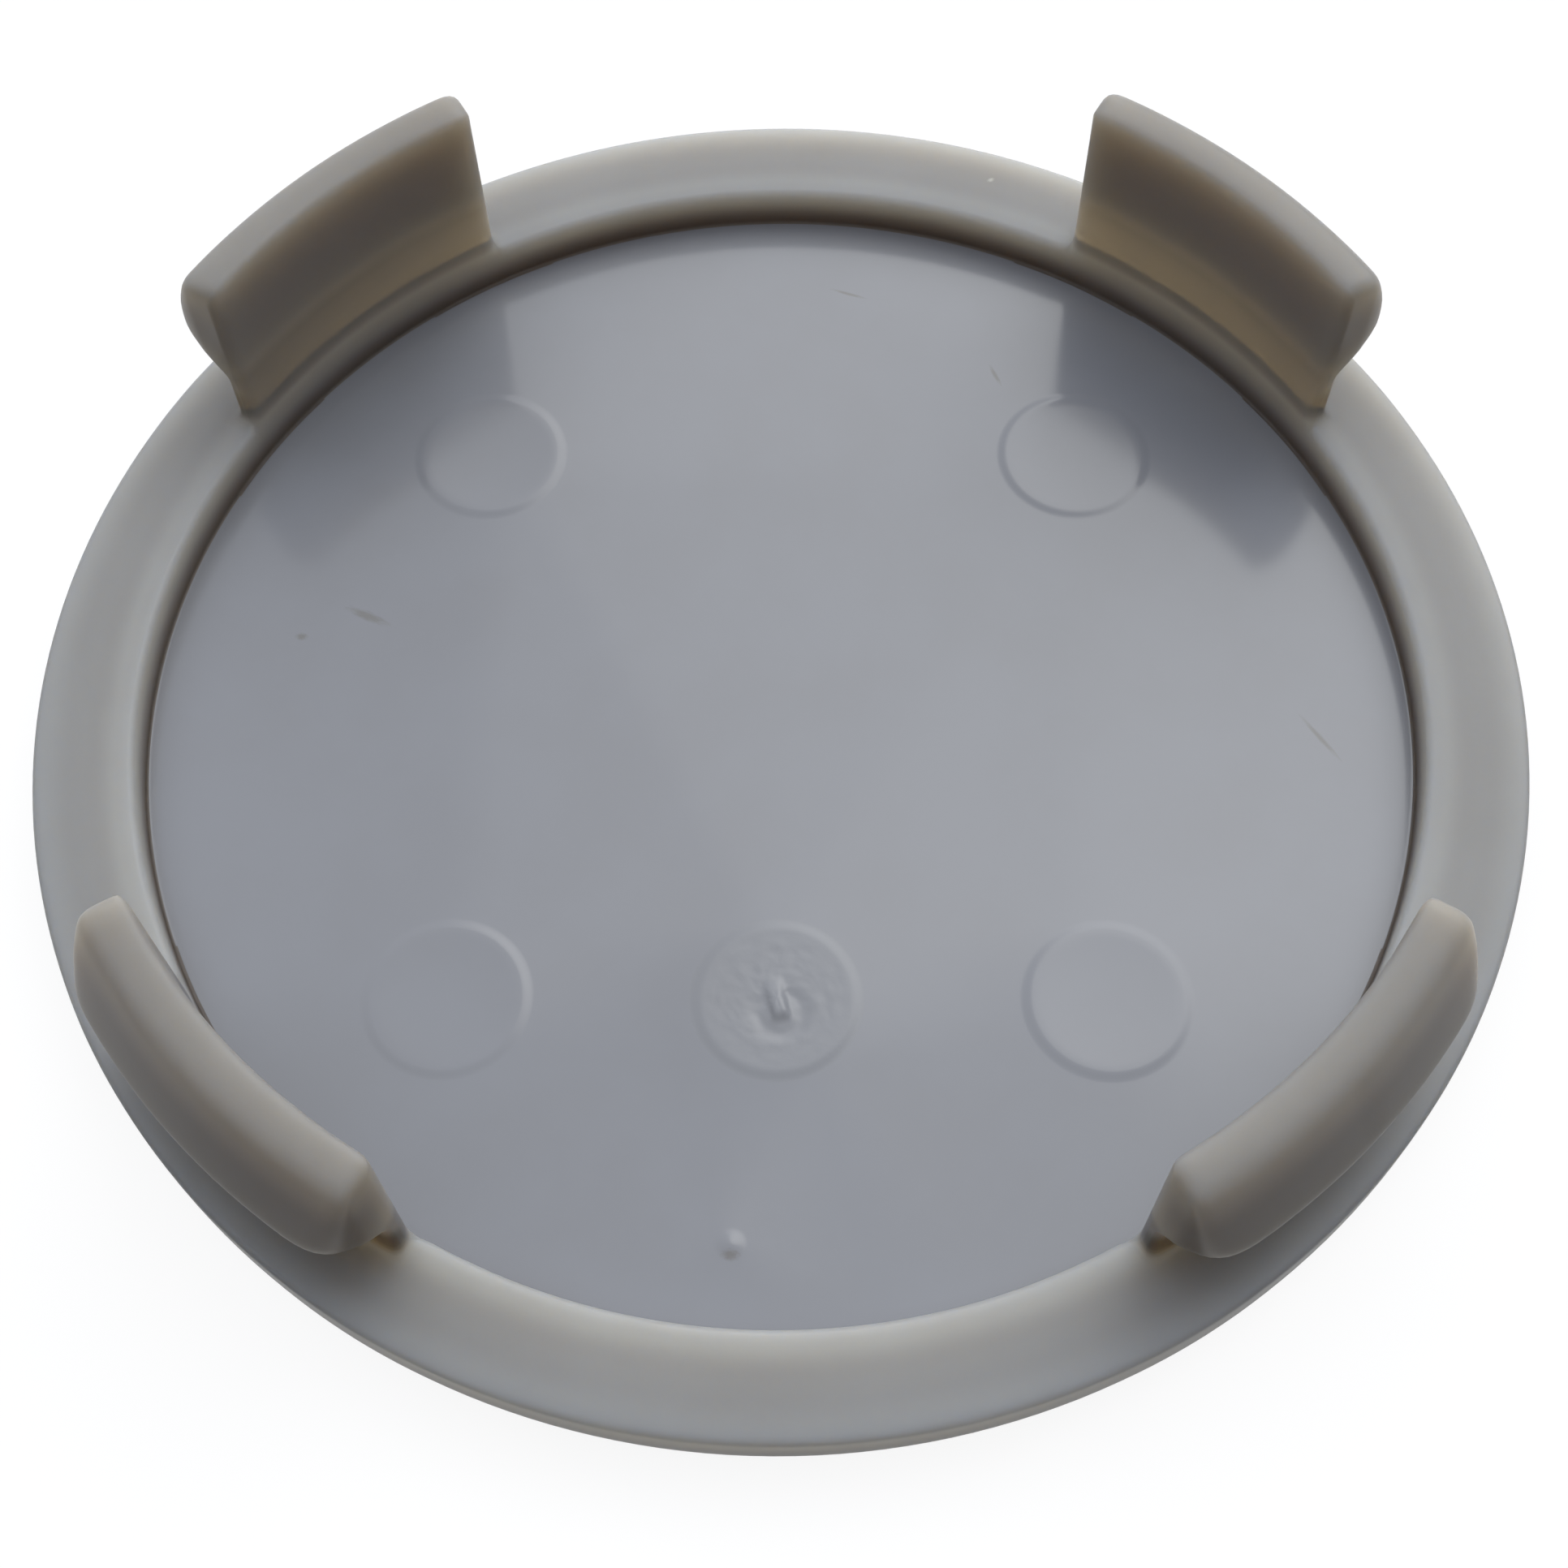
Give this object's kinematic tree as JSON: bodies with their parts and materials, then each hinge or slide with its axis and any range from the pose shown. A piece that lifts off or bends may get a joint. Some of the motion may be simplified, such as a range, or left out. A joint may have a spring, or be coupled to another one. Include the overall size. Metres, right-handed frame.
{
  "type": "wheel centre cap",
  "caption": "Round snap-in wheel centre cap: a shallow moulded plastic disc whose raised ring carries hooked snap clips around a flat-floored recess.",
  "frame": {"origin": "centre of the front face, which lies on the surface that the cap rests on", "axes": "+Z along the cap's axis from the front face towards the clips; the clips lie on the diagonals between X and Y; the gate pad lies on the -Y side"},
  "size_m": [0.06, 0.06, 0.0118],
  "materials": {
    "cap_plastic": "grey ABS as moulded, finely matte, with a polished floor in the recess"
  },
  "bodies": {
    "root": {"centre_cap": "cap_plastic"}
  },
  "joints": []
}
